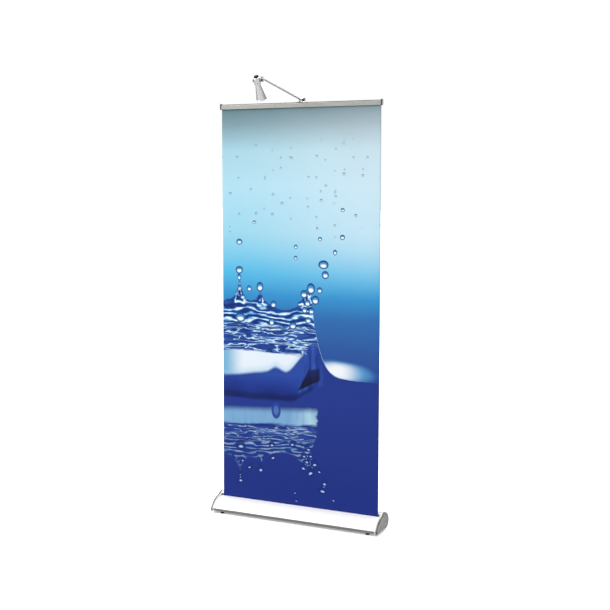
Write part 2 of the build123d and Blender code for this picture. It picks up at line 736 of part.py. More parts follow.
# ---- Write one STEP per piece ----
PIECES = {
    "base_extrusion": base_extrusion,
    "front_cover": lambda: run(cover_section(), -PROFILE_HALF, PROFILE_HALF),
    "cover_clips": cover_clips,
    "left_end_cap": lambda: end_cap(-1),
    "right_end_cap": lambda: end_cap(1),
    "left_end_plate": lambda: end_plate(-1),
    "right_end_plate": lambda: end_plate(1),
    "end_plate_screws": end_plate_screws,
    "feet": feet,
    "foot_screws": foot_screws,
    "pole_socket": pole_socket,
    "pole_socket_screws": socket_screws,
    "roller_tube": roller_tube,
    "roller_plug_left": lambda: roller_plug(-1),
    "roller_plug_right": lambda: roller_plug(1),
    "roller_bearing": roller_bearing,
    "spring_axle": spring_axle,
    "torsion_spring": torsion_spring,
    "spring_anchor": spring_anchor,
    "graphic_wrap": graphic_wrap,
    "graphic_feed": graphic_feed,
    "graphic_panel": graphic_panel,
    "pole_lower": lambda: pole_tube(0),
    "pole_middle": lambda: pole_tube(1),
    "pole_upper": lambda: pole_tube(2),
    "middle_guide_bush": lambda: guide_bush(1),
    "upper_guide_bush": lambda: guide_bush(2),
    "lower_clamp_collar": lambda: clamp_collar(0),
    "upper_clamp_collar": lambda: clamp_collar(1),
    "lower_clamp_pin": lambda: lever_pin(0),
    "upper_clamp_pin": lambda: lever_pin(1),
    "lower_clamp_lever": lambda: flip_lever(0),
    "upper_clamp_lever": lambda: flip_lever(1),
    "pole_head": pole_head,
    "rail_back_profile": rail_back_profile,
    "rail_front_jaw": rail_front_jaw,
    "rail_back_grip": lambda: grip_strip(1),
    "rail_jaw_grip": lambda: grip_strip(-1),
    "rail_left_cap": lambda: rail_cap(-1),
    "rail_right_cap": lambda: rail_cap(1),
    "rail_cap_screws": rail_cap_screws,
    "lamp_bracket": lamp_bracket,
    "cord_grommet": cord_grommet,
    "arm_hinge_nut": hinge_nut,
    "arm_clamp_knob": arm_clamp_knob,
    "arm_knuckle": arm_knuckle,
    "arm_tube": arm_tube,
    "head_yoke": head_yoke,
    "head_pivot_screw": head_pivot_screw,
    "head_clamp_knob": head_clamp_knob,
    "lamp_housing": lamp_housing,
    "lamp_top_cap": lamp_top_cap,
    "lamp_shade": lamp_shade,
    "lamp_holder": lamp_holder,
    "lamp_reflector": lamp_reflector,
    "lamp_capsule": lamp_capsule,
    "lamp_front_glass": lamp_front_glass,
    "lamp_retaining_ring": lamp_retaining_ring,
}

os.makedirs("parts", exist_ok=True)
for node, make in PIECES.items():
    save(make(), node)
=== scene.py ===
import math

import bpy
from mathutils import Matrix, Vector


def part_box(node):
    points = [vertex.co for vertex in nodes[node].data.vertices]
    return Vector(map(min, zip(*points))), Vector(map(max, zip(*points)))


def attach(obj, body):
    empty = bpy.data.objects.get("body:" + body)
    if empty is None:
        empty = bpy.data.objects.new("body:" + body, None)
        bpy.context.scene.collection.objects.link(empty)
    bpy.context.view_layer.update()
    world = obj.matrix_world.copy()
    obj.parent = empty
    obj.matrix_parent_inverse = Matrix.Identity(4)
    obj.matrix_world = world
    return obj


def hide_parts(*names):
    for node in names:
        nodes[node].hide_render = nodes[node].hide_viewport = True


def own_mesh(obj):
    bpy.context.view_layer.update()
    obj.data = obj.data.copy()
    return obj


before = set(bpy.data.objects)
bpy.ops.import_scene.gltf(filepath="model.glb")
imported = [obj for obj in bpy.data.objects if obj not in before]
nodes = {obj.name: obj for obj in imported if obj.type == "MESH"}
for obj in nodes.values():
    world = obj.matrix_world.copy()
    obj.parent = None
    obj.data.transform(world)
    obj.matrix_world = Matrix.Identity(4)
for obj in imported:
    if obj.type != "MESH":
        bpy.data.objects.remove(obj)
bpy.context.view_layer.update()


# ---------------------------------------------------------------- camera and studio
# The camera was fitted to the straight edges in the photo. Metres, degrees and millimetres.
CAMERA_AT = (2.287, -4.799, 1.672)
CAMERA_YAW, CAMERA_PITCH, CAMERA_ROLL = 25.15, -5.225, 0.113
CAMERA_LENS, CAMERA_SENSOR = 64.44, 36
CAMERA_SHIFT_Y = -0.036
WORLD_GREYS = [(0.40, 0.30), (0.85, 0.92)]      # share of the way up from straight down, and grey
WORLD_LEFT, WORLD_RIGHT = 1.12, 0.72            # strength on either side


def make_camera():
    """The photo's camera: turned about Z, then tipped from straight down, then rolled."""
    data = bpy.data.cameras.new("camera")
    data.lens, data.sensor_width = CAMERA_LENS, CAMERA_SENSOR
    data.shift_y = CAMERA_SHIFT_Y
    data.clip_end = 200
    data.dof.use_dof = False
    camera = bpy.data.objects.new("camera", data)
    bpy.context.collection.objects.link(camera)
    turn = Matrix.Rotation(math.radians(CAMERA_YAW), 4, "Z")
    tip = Matrix.Rotation(math.radians(90 + CAMERA_PITCH), 4, "X")
    roll = Matrix.Rotation(math.radians(CAMERA_ROLL), 4, "Z")
    camera.matrix_world = Matrix.Translation(CAMERA_AT) @ turn @ tip @ roll
    bpy.context.scene.camera = camera


def make_light(name, at, target, width, height, power):
    """A soft rectangular light at a point, facing a target; metres and watts."""
    data = bpy.data.lights.new(name, "AREA")
    data.shape, data.size, data.size_y, data.energy = "RECTANGLE", width, height, power
    light = bpy.data.objects.new(name, data)
    bpy.context.collection.objects.link(light)
    light.location = at
    light.rotation_euler = (Vector(target) - Vector(at)).to_track_quat("-Z", "Y").to_euler()


def make_world():
    """Soft studio surroundings, darker low down and to the right, and white to the camera."""
    world = bpy.data.worlds.new("studio")
    bpy.context.scene.world = world
    world.use_nodes = True
    tree = world.node_tree
    tree.nodes.clear()
    coords = tree.nodes.new("ShaderNodeTexCoord")
    split = tree.nodes.new("ShaderNodeSeparateXYZ")
    tree.links.new(coords.outputs["Generated"], split.inputs[0])
    height = tree.nodes.new("ShaderNodeValToRGB")
    for element, (position, grey) in zip(height.color_ramp.elements, WORLD_GREYS):
        element.position = position
        element.color = (grey, grey, grey, 1)
    lift = tree.nodes.new("ShaderNodeMapRange")
    lift.inputs["From Min"].default_value = -1
    tree.links.new(split.outputs["Z"], lift.inputs["Value"])
    tree.links.new(lift.outputs[0], height.inputs[0])
    side = tree.nodes.new("ShaderNodeMapRange")
    side.inputs["From Min"].default_value = -1
    side.inputs["To Min"].default_value = WORLD_LEFT
    side.inputs["To Max"].default_value = WORLD_RIGHT
    tree.links.new(split.outputs["X"], side.inputs["Value"])
    around = tree.nodes.new("ShaderNodeBackground")
    tree.links.new(height.outputs["Color"], around.inputs["Color"])
    tree.links.new(side.outputs[0], around.inputs["Strength"])
    plain = tree.nodes.new("ShaderNodeBackground")
    plain.inputs["Color"].default_value = (1, 1, 1, 1)
    path = tree.nodes.new("ShaderNodeLightPath")
    pick = tree.nodes.new("ShaderNodeMixShader")
    tree.links.new(path.outputs["Is Camera Ray"], pick.inputs[0])
    tree.links.new(around.outputs[0], pick.inputs[1])
    tree.links.new(plain.outputs[0], pick.inputs[2])
    out = tree.nodes.new("ShaderNodeOutputWorld")
    tree.links.new(pick.outputs[0], out.inputs["Surface"])


bpy.context.scene.view_settings.view_transform = "Standard"
make_camera()
make_world()
make_light("key", (-3.4, -3.4, 4.8), (0, 0, 1.0), 3.0, 3.0, 215)
make_light("fill", (3.8, -3.0, 2.2), (0, 0, 0.9), 2.2, 2.6, 42)
make_light("top", (0.3, 0.6, 5.2), (0, 0, 0), 4.0, 4.0, 72)
make_light("rear", (1.5, 4.5, 3.0), (0, 0, 1.0), 3.0, 3.0, 130)


# ---------------------------------------------------------------- mesh helpers
def make_piece(name, points, faces, smooth=True):
    """A mesh object of the given points and faces."""
    mesh = bpy.data.meshes.new(name)
    mesh.from_pydata([tuple(p) for p in points], [], faces)
    mesh.validate()
    mesh.update()
    if smooth:
        mesh.shade_smooth()
    piece = bpy.data.objects.new(name, mesh)
    bpy.context.collection.objects.link(piece)
    return piece


# ---------------------------------------------------------------- node helpers
def from_display(r, g, b):
    """Linear colour from a 0 to 255 display colour, by the sRGB curve."""
    def linear(c):
        c /= 255
        return c / 12.92 if c <= 0.04045 else ((c + 0.055) / 1.055) ** 2.4

    return (linear(r), linear(g), linear(b))


class Field:
    """A number that varies over a surface, written as ordinary arithmetic."""

    def __init__(self, look, socket):
        self.look, self.socket = look, socket

    def __add__(self, other):
        return self.look.math("ADD", self, other)

    def __sub__(self, other):
        return self.look.math("SUBTRACT", self, other)

    def __rsub__(self, other):
        return self.look.math("SUBTRACT", other, self)

    def __mul__(self, other):
        return self.look.math("MULTIPLY", self, other)

    def __truediv__(self, other):
        return self.look.math("DIVIDE", self, other)

    __radd__, __rmul__ = __add__, __mul__

    def min(self, other):
        return self.look.math("MINIMUM", self, other)

    def max(self, other):
        return self.look.math("MAXIMUM", self, other)

    def abs(self):
        return self.look.math("ABSOLUTE", self)

    def rise(self, low, high):
        """0 below low and 1 above high, smoothly. low may be above high."""
        if low > high:
            return 1 - self.rise(high, low)
        node = self.look.add("ShaderNodeMapRange", interpolation_type="SMOOTHSTEP")
        self.look.join(self, node.inputs["Value"])
        node.inputs["From Min"].default_value = low
        node.inputs["From Max"].default_value = high
        return Field(self.look, node.outputs["Result"])


class Look:
    """A Principled material and the nodes that feed it."""

    # The colour sockets of a Mix node, which has others of the same name for other data types.
    MIX_A, MIX_B, MIX_RESULT = 6, 7, 2

    def __init__(self, name, **settings):
        self.material = bpy.data.materials.new(name)
        self.material.use_nodes = True
        self.tree = self.material.node_tree
        self.shader = self.tree.nodes["Principled BSDF"]
        for key, value in settings.items():
            self.shader.inputs[key.replace("_", " ").title().replace("Ior", "IOR")].default_value = value

    def add(self, kind, **settings):
        node = self.tree.nodes.new(kind)
        for key, value in settings.items():
            setattr(node, key, value)
        return node

    def join(self, value, socket):
        if isinstance(value, Field):
            self.tree.links.new(value.socket, socket)
        elif isinstance(value, bpy.types.NodeSocket):
            self.tree.links.new(value, socket)
        elif isinstance(value, (tuple, list)) and len(socket.default_value) == 4:
            socket.default_value = (*value, 1)
        else:
            socket.default_value = value

    def math(self, operation, a, b=None):
        node = self.add("ShaderNodeMath", operation=operation)
        self.join(a, node.inputs[0])
        if b is not None:
            self.join(b, node.inputs[1])
        return Field(self, node.outputs[0])

    def coords(self, reference=None):
        """Object coordinates, of the object itself or of a reference object."""
        node = self.add("ShaderNodeTexCoord")
        node.object = reference
        return node.outputs["Object"]

    def split(self, vector):
        node = self.add("ShaderNodeSeparateXYZ")
        self.join(vector, node.inputs[0])
        return [Field(self, s) for s in node.outputs]

    def vector(self, x, y, z=0.0):
        node = self.add("ShaderNodeCombineXYZ")
        for value, socket in zip((x, y, z), node.inputs):
            self.join(value, socket)
        return node.outputs[0]

    def stretch(self, vector, scale, turn=(0, 0, 0)):
        node = self.add("ShaderNodeMapping")
        self.join(vector, node.inputs["Vector"])
        node.inputs["Scale"].default_value = scale
        node.inputs["Rotation"].default_value = turn
        return node.outputs[0]

    def noise(self, vector, scale, detail=2.0, rough=0.5, warp=0.0):
        node = self.add("ShaderNodeTexNoise")
        self.join(vector, node.inputs["Vector"])
        node.inputs["Scale"].default_value = scale
        node.inputs["Detail"].default_value = detail
        node.inputs["Roughness"].default_value = rough
        node.inputs["Distortion"].default_value = warp
        return Field(self, node.outputs["Fac"])

    def ramp(self, factor, stops):
        """stops is [(position, colour), ...]."""
        node = self.add("ShaderNodeValToRGB")
        elements = node.color_ramp.elements
        while len(elements) < len(stops):
            elements.new(0.5)
        for element, (position, colour) in zip(elements, stops):
            element.position = position
            element.color = (*colour, 1)
        self.join(factor, node.inputs[0])
        return node.outputs["Color"]

    def mix(self, factor, a, b):
        node = self.add("ShaderNodeMix", data_type="RGBA")
        self.join(factor, node.inputs[0])
        self.join(a, node.inputs[self.MIX_A])
        self.join(b, node.inputs[self.MIX_B])
        return node.outputs[self.MIX_RESULT]

    def plain_colour(self):
        """The colour made so far, to mix something into."""
        return self.shader.inputs["Base Color"].links[0].from_socket

    def colour(self, value):
        self.join(value, self.shader.inputs["Base Color"])

    def rough(self, field):
        self.join(field, self.shader.inputs["Roughness"])

    def bump(self, height, depth):
        node = self.add("ShaderNodeBump")
        node.inputs["Strength"].default_value = 1.0
        node.inputs["Distance"].default_value = depth
        self.join(height, node.inputs["Height"])
        self.tree.links.new(node.outputs[0], self.shader.inputs["Normal"])


# ---------------------------------------------------------------- floor
FLOOR_HALF = 60.0


def make_floor():
    """Plain pale paper that takes soft shadows, and glows towards the camera away from the object."""
    corners = [(x * FLOOR_HALF, y * FLOOR_HALF, 0) for x, y in ((-1, -1), (1, -1), (1, 1), (-1, 1))]
    floor = make_piece("floor", corners, [(0, 1, 2, 3)], smooth=False)
    look = Look("floor_paper", roughness=0.9, specular_ior_level=0.0, emission_color=(1, 1, 1, 1))
    at = look.coords()
    seen = Field(look, look.add("ShaderNodeLightPath").outputs["Is Camera Ray"])
    grain = look.noise(at, 3.0, detail=4)
    shown = look.mix(grain, (0.90, 0.90, 0.90), (0.93, 0.93, 0.93))
    look.colour(look.mix(seen, (0.50, 0.50, 0.50), shown))
    x, y, _ = look.split(at)
    away = look.math("SQRT", x * x + y * y)
    look.join((away.rise(0.5, 4.0) * 0.7 + 0.3) * seen, look.shader.inputs["Emission Strength"])
    floor.data.materials.append(look.material)


# ---------------------------------------------------------------- materials of the hard parts
def dress(look, *names):
    """Give the named CAD nodes a material."""
    for name in names:
        slots = nodes[name].data.materials
        if not slots:
            slots.append(look.material)
        for i in range(len(slots)):
            slots[i] = look.material


def drawn_metal(name, tint, roughness, grain, depth=0.00002, variation=0.06, smudge=0.10,
                metallic=1.0, **settings):
    """Metal with fine lines along the direction in which grain is small, and faint hand smudges."""
    look = Look(name, metallic=metallic, **settings)
    at = look.coords()
    lines = look.noise(look.stretch(at, grain), 1.0, detail=3, rough=0.6)
    marks = look.noise(at, 14, detail=5, rough=0.6)
    tone = lines * 0.6 + marks * 0.4
    low = tuple(c * (1 - variation) for c in tint)
    high = tuple(min(1.0, c * (1 + variation)) for c in tint)
    look.colour(look.ramp(tone, [(0.32, low), (0.68, high)]))
    look.rough(lines * 0.08 + marks.rise(0.35, 0.75) * smudge + (roughness - 0.06))
    look.bump(lines, depth)
    return look


def turned_metal(name, tint, roughness, axis, pitch=1600.0, depth=0.00002):
    """Metal spun or turned on a lathe, with lines round an axis."""
    look = Look(name, metallic=1.0)
    at = look.coords()
    along = look.add("ShaderNodeVectorMath", operation="DOT_PRODUCT")
    look.join(at, along.inputs[0])
    along.inputs[1].default_value = axis
    depth_along = Field(look, along.outputs["Value"])
    rings = look.noise(look.vector(depth_along * pitch, 0.0), 1.0, detail=3, rough=0.6)
    marks = look.noise(at, 60, detail=5, rough=0.65)
    low = tuple(c * 0.93 for c in tint)
    look.colour(look.ramp(rings * 0.5 + marks * 0.5, [(0.35, low), (0.65, tint)]))
    look.rough(rings * 0.07 + marks.rise(0.4, 0.8) * 0.08 + (roughness - 0.05))
    look.bump(rings, depth)
    return look


def moulded_plastic(name, tint, roughness=0.42, grain=1500.0, depth=0.00004, wear=0.12, **settings):
    """Moulded plastic with a spark-eroded texture and faint handling wear."""
    look = Look(name, **settings)
    at = look.coords()
    pits = look.noise(at, grain, detail=3, rough=0.6)
    marks = look.noise(at, 45, detail=6, rough=0.65)
    low = tuple(c * (1 - wear) for c in tint)
    high = tuple(min(1.0, c * (1 + wear) + 0.004) for c in tint)
    look.colour(look.ramp(pits * 0.3 + marks * 0.7, [(0.35, low), (0.68, high)]))
    look.rough(pits * 0.1 + marks.rise(0.35, 0.8) * 0.12 + (roughness - 0.08))
    look.bump(pits, depth)
    return look


LAMP_TILT = math.radians(32)
HEAD_AXIS = (0.0, -math.sin(LAMP_TILT), math.cos(LAMP_TILT))     # from the glass up to the cap


def dress_hard_parts():
    along_x, along_z = (3, 700, 700), (700, 700, 3)
    dress(base_look(along_x), "base_extrusion")
    dress(drawn_metal("cover_aluminium", (0.95, 0.945, 0.935), 0.42, (2, 420, 420), depth=0.000008,
                      variation=0.02, smudge=0.05, metallic=0.1, specular_ior_level=0.15),
          "front_cover")
    dress(drawn_metal("pole_anodised", (0.76, 0.76, 0.77), 0.30, along_z),
          "pole_lower", "pole_middle", "pole_upper")
    dress(drawn_metal("roller_aluminium", (0.72, 0.72, 0.73), 0.36, along_x), "roller_tube")
    dress(drawn_metal("rail_aluminium_look", (0.33, 0.32, 0.29), 0.42, along_x, metallic=0.6),
          "rail_back_profile")
    dress(drawn_metal("rail_jaw_look", (0.40, 0.405, 0.385), 0.42, along_x, metallic=0.6),
          "rail_front_jaw")
    dress(drawn_metal("bracket_chrome", (0.86, 0.86, 0.86), 0.12, (90, 90, 90), depth=0.000004,
                      smudge=0.06),
          "lamp_bracket", "arm_knuckle", "lamp_retaining_ring")
    dress(turned_metal("housing_chrome", (0.86, 0.86, 0.86), 0.14, HEAD_AXIS, depth=0.000005),
          "lamp_housing")
    dress(drawn_metal("arm_satin_look", (0.42, 0.42, 0.42), 0.50, (500, 6, 500), metallic=0.4),
          "arm_tube", "head_yoke")
    dress(turned_metal("shade_spun", (0.93, 0.93, 0.93), 0.15, HEAD_AXIS), "lamp_shade")
    dress(drawn_metal("zinc_plate", (0.66, 0.66, 0.67), 0.32, (260, 260, 260), variation=0.1),
          "end_plate_screws", "foot_screws", "pole_socket_screws", "rail_cap_screws", "lower_clamp_pin",
          "upper_clamp_pin", "arm_hinge_nut", "head_pivot_screw", "spring_axle", "torsion_spring",
          "cover_clips")
    dress(cap_look(), "left_end_cap", "right_end_cap")
    dress(end_plate_look(), "left_end_plate", "right_end_plate")
    dress(moulded_plastic("foot_rubber_look", (0.018, 0.018, 0.019), 0.75, grain=900, depth=0.00012,
                          wear=0.3),
          "feet", "cord_grommet")
    dress(moulded_plastic("black_nylon", (0.022, 0.022, 0.024), 0.42),
          "pole_socket", "lower_clamp_collar", "upper_clamp_collar", "lower_clamp_lever",
          "upper_clamp_lever", "pole_head", "middle_guide_bush", "upper_guide_bush",
          "roller_plug_left", "roller_plug_right", "spring_anchor", "arm_clamp_knob",
          "head_clamp_knob")
    dress(moulded_plastic("cap_black_matt", (0.008, 0.008, 0.009), 0.6, specular_ior_level=0.15),
          "lamp_top_cap")
    dress(moulded_plastic("bearing_nylon_look", (0.72, 0.71, 0.66), 0.4), "roller_bearing")
    dress(moulded_plastic("grip_rubber_look", (0.10, 0.10, 0.10), 0.6),
          "rail_back_grip", "rail_jaw_grip")
    dress(moulded_plastic("rail_cap_plastic", (0.055, 0.057, 0.062), 0.4),
          "rail_left_cap", "rail_right_cap")
    dress(moulded_plastic("holder_ceramic", (0.78, 0.76, 0.70), 0.35, grain=500), "lamp_holder")
    dress(glass_look("capsule_glass", 0.02), "lamp_capsule")
    dress(glass_look("front_glass_look", 0.06), "lamp_front_glass")


def base_look(grain):
    """Satin anodised extrusion; the narrow front lip, which faces down, is painted darker grey as painted
    shade.
    """
    look = drawn_metal("base_aluminium", (0.84, 0.84, 0.83), 0.36, grain)
    low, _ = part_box("base_extrusion")
    _, y, z = look.split(look.coords())
    lip_depth, lip_height = 0.005, 0.013
    # Painted shade: lip masks the narrow front lip, which is mixed towards dark grey below.
    lip = ((y - low[1]).rise(lip_depth + 0.001, lip_depth - 0.001)
           * (z - low[2]).rise(lip_height + 0.0005, lip_height - 0.0005))
    look.colour(look.mix(lip * 0.8, look.plain_colour(), (0.24, 0.235, 0.225)))
    return look


def cap_look():
    """Silver-painted moulding whose outer rim, next to the end plate, is darkened as painted shade in the
    gap.
    """
    look = moulded_plastic("cap_silver_plastic", (0.74, 0.74, 0.73), 0.34, wear=0.04)
    low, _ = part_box("left_end_cap")
    x, _, _ = look.split(look.coords())
    # Painted shade: the outer 4 mm of the rim, by the gap to the end plate, is mixed towards dark grey.
    rim = (x.abs() + low[0]).rise(-0.0048, -0.0040)
    look.colour(look.mix(rim * 0.9, look.plain_colour(), (0.13, 0.13, 0.125)))
    return look


def end_plate_look():
    """Grey injection-moulded plate with cloudy flow marks, and sides darkened as painted shade in the gap
    by the cap.
    """
    look = Look("plate_grey_plastic", metallic=0.1, specular_ior_level=0.4)
    at = look.coords()
    cloud = look.noise(at, 42, detail=6, rough=0.68, warp=0.9)
    flow = look.noise(look.stretch(at, (20, 130, 30), (0.6, 0, 0)), 1.0, detail=4, rough=0.6)
    pits = look.noise(at, 1300, detail=3, rough=0.6)
    face = look.ramp(cloud * 0.5 + flow * 0.5, [
        (0.36, (0.11, 0.11, 0.106)), (0.50, (0.30, 0.30, 0.295)), (0.61, (0.52, 0.52, 0.51))])
    low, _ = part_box("left_end_plate")
    x, _, _ = look.split(at)
    # Painted shade: all but the outer 1 mm face, that is the sides in the gap by the cap, is mixed towards
    # near black.
    side = (x.abs() + low[0]).rise(-0.0009, -0.0011)
    look.colour(look.mix(side, face, (0.085, 0.085, 0.082)))
    look.rough(cloud * 0.2 + pits * 0.1 + 0.28)
    look.bump(pits * 0.5 + cloud * 0.5, 0.00006)
    return look


def glass_look(name, roughness):
    """Clear lamp glass with a faint ripple."""
    look = Look(name, transmission_weight=1.0, ior=1.47)
    at = look.coords()
    ripple = look.noise(at, 220, detail=2)
    look.colour(look.ramp(ripple, [(0.3, (0.93, 0.95, 0.95)), (0.7, (0.99, 1.0, 1.0))]))
    look.rough(ripple * 0.04 + roughness)
    look.bump(ripple, 0.00002)
    return look


# ---------------------------------------------------------------- the print
PANEL_LOW, PANEL_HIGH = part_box("graphic_panel")
PRINT_TOP = PANEL_HIGH[2]
PRINT_LENGTH = PANEL_HIGH[2] - PANEL_LOW[2]
HALF_WIDTH = PANEL_HIGH[0]

# Sky and deep water, with painted shade of the rail at the very top, by share of the way down the print,
# in 0 to 255 display colours.
BACKDROP = [
    (0.00, (96, 124, 132)), (0.045, (124, 154, 165)), (0.11, (164, 206, 220)), (0.20, (172, 216, 233)),
    (0.31, (154, 210, 231)), (0.36, (128, 201, 230)), (0.415, (84, 183, 225)), (0.47, (54, 144, 203)),
    (0.52, (48, 108, 174)), (0.60, (45, 86, 156)), (0.67, (40, 70, 147)), (0.70, (33, 55, 137)),
    (1.00, (27, 46, 129)),
]

# Heights over the floor and places across the print, in metres.
WATERLINE = 0.572           # where the bowl's mirror image starts, at the middle of the print
WATERLINE_SLOPE = 0.060
MIRROR_START = 0.720        # the height that the mirror image starts with
MIRROR_STRETCH = 1.36       # how much squatter the mirror image is than the bowl
LEVEL = 0.722               # calm water to the right of the bowl
RIM = 1.072                 # the bowl's rim between its spikes
WALL_AT = 0.081             # the bowl's right wall falls to the level along an exponential
WALL_HEIGHT = 0.29
WALL_FALL = 0.044
BAND_PITCH = 0.030          # from one contour band under the rim to the next

# Crown spikes: place along the width, height over the rim, spread, all in metres.
SPIKES = [
    (-0.400, 0.014, 0.024), (-0.331, 0.125, 0.022), (-0.213, 0.064, 0.026), (-0.136, 0.012, 0.020),
    (-0.002, 0.030, 0.026), (0.040, 0.075, 0.022), (0.070, 0.060, 0.014),
]

# Drops on the spikes and thrown clear of them: place, height, radius and how much taller than wide.
DROPS = [
    (-0.331, 1.239, 0.021, 0.88), (-0.331, 1.203, 0.011, 1.70), (-0.215, 1.157, 0.019, 1.30),
    (-0.276, 1.146, 0.014, 1.15), (-0.312, 1.103, 0.014, 0.95), (-0.139, 1.074, 0.016, 1.10),
    (0.027, 1.130, 0.019, 1.10), (0.065, 1.159, 0.022, 1.30), (0.088, 1.103, 0.021, 1.05),
    (0.046, 1.088, 0.017, 1.10), (0.030, 1.052, 0.015, 1.10), (0.068, 1.050, 0.016, 1.00),
    (0.111, 1.153, 0.015, 1.00), (0.134, 1.281, 0.027, 0.80), (0.143, 1.231, 0.019, 1.05),
    (-0.015, 1.310, 0.010, 1.05), (-0.015, 1.364, 0.010, 1.00), (-0.330, 1.380, 0.017, 0.88),
    (0.194, 1.341, 0.011, 1.20), (0.231, 1.414, 0.013, 1.00), (0.113, 1.403, 0.010, 1.00),
    (0.097, 1.453, 0.006, 1.00), (-0.246, 1.478, 0.010, 0.80), (0.232, 1.545, 0.010, 1.00),
    (0.300, 1.520, 0.007, 1.10), (-0.325, 1.000, 0.030, 0.85), (-0.150, 0.985, 0.016, 1.20),
    (-0.030, 0.975, 0.020, 0.90), (0.052, 1.005, 0.018, 0.90),
]

# Two layers of spray: cells to the metre, drop size in cells, share of empty cells, shift of the pattern.
SPRAY = [(21.0, 0.16, 0.80, 3.7), (13.0, 0.10, 0.72, 8.1)]


class Water:
    """Fields that the parts of the picture share.

    x and z are the plain place. wx and wz are the place shaken by ripples, and below the waterline
    they turn the picture upside down."""

    def __init__(self, look):
        self.at = look.coords(nodes["rail_back_profile"])
        x, _, z = look.split(self.at)
        self.x, self.z = x, z
        self.down = (PRINT_TOP - z) / PRINT_LENGTH
        self.waterline = x * WATERLINE_SLOPE + WATERLINE
        self.below = (self.waterline - z).rise(0.0, 0.00001)
        self.above = 1 - self.below
        self.ripple = look.noise(look.vector(x * 3.0, z * 46.0), 1.0, detail=3) - 0.5
        self.broad = look.noise(look.vector(x * 5.0, z * 5.0, 4.0), 1.0, detail=2) - 0.5
        self.fine = look.noise(look.vector(x * 26.0, z * 26.0, 9.0), 1.0, detail=2) - 0.5
        mirrored = (self.waterline - z) * MIRROR_STRETCH + MIRROR_START
        height = z + self.below * (mirrored - z)
        self.wx = x + self.broad * 0.014 + self.fine * 0.005 + self.ripple * self.below * 0.040
        self.wz = height + self.broad * 0.014 + self.fine * 0.005
        self.swell = look.noise(look.vector(self.wx * 7.0, self.wz * 16.0, 1.0), 1.0, detail=2)
        self.chop = look.noise(look.vector(self.wx * 8.0, self.wz * 44.0, 6.0), 1.0, detail=2, warp=0.9)
        self.in_bowl = self.wx.rise(0.100, 0.075)


def ellipse(x, z, centre, width, height, lean=0.0):
    """Squared distance from a centre, in units of the two half axes, leaning by a share of the height."""
    dx = (x - centre[0] - (z - centre[1]) * lean) / width
    dz = (z - centre[1]) / height
    return dx * dx + dz * dz


def print_look():
    """The printed picture: a plain water splash in pale aqua and deep blue.

    It is placed from the rail, so it travels with the top of the film as the film winds in."""
    look = Look("printed_film", specular_ior_level=0.16)
    water = Water(look)
    picture = print_backdrop(look, water)
    for layer in (print_bowl, print_mirror_band, print_splash, print_hanging_drop, print_spray):
        picture = layer(look, water, picture)
    tooth = look.noise(water.at, 900, detail=2)
    look.colour(picture)
    look.rough(tooth * 0.08 + 0.38)
    look.bump(tooth, 0.000012)
    return look


def print_backdrop(look, water):
    """Sky and deep water, with painted shade of the rail at the top, haze on the right and soft light on
    the calm water beyond the bowl.
    """
    x, down, wx, wz = water.x, water.down, water.wx, water.wz
    stops = [(share, from_display(*colour)) for share, colour in BACKDROP]
    # The first stops of the ramp are painted shade of the rail along the very top of the print.
    picture = look.ramp(down + water.broad * 0.012, stops)
    # The haze fades out towards the very top, so the painted shade of the rail there stays dark.
    haze = x.rise(-0.45, 0.50) * down.rise(0.48, 0.30) * down.rise(-0.07, 0.12)
    picture = look.mix(haze * 0.40, picture, from_display(236, 242, 248))
    halo = ellipse(wx, wz, (0.235, LEVEL + 0.042), 0.190, 0.062, -0.6)
    picture = look.mix(halo.rise(1.0, 0.10) * water.above * 0.85, picture, from_display(96, 166, 214))
    heart = halo.rise(0.70, 0.04) * wx.rise(0.36, 0.22) * water.above
    return look.mix(heart, picture, from_display(240, 244, 249))


def print_bowl(look, water, picture):
    """The bowl: a crown rim on the left, and a wall that sweeps down to the calm water on the right."""
    wx, wz, below = water.wx, water.wz, water.below
    crown = water.fine * 0.012 + RIM - wx.rise(-0.22, -0.09) * wx.rise(0.04, -0.02) * 0.026
    for place, tall, spread in SPIKES:
        crown = crown + look.math("EXPONENT", (wx - place).abs() * (-1 / spread)) * tall
    wall = look.math("EXPONENT", (wx - WALL_AT) * (-1 / WALL_FALL)) * WALL_HEIGHT + LEVEL
    depth = crown.min(wall) - wz
    inside = bowl_ridges(look, water, crown)
    inside = bowl_pool(look, water, inside)
    inside = bowl_right_side(look, water, inside)

    # Dark lip, then a bright edge along the rim and the wall.
    lip = depth.rise(0.014, 0.009) * water.in_bowl
    inside = look.mix(lip * 0.85, inside, from_display(30, 72, 148))
    along = wx.rise(0.066, 0.084) * wx.rise(0.26, 0.16)
    edge = (depth - 0.0018).abs().rise(0.0042, 0.0012) * along * water.above
    inside = look.mix(edge * 0.8, inside, from_display(176, 214, 240))

    # The mirror image ends where the wall starts, and fades with depth.
    faded = (wx.rise(0.092, 0.112) + water.down.rise(0.77, 0.93) * 0.5 + 0.34).min(1.0)
    shown = depth.rise(-0.0006, 0.0012) * (1 - below * faded)
    return look.mix(shown, picture, inside)


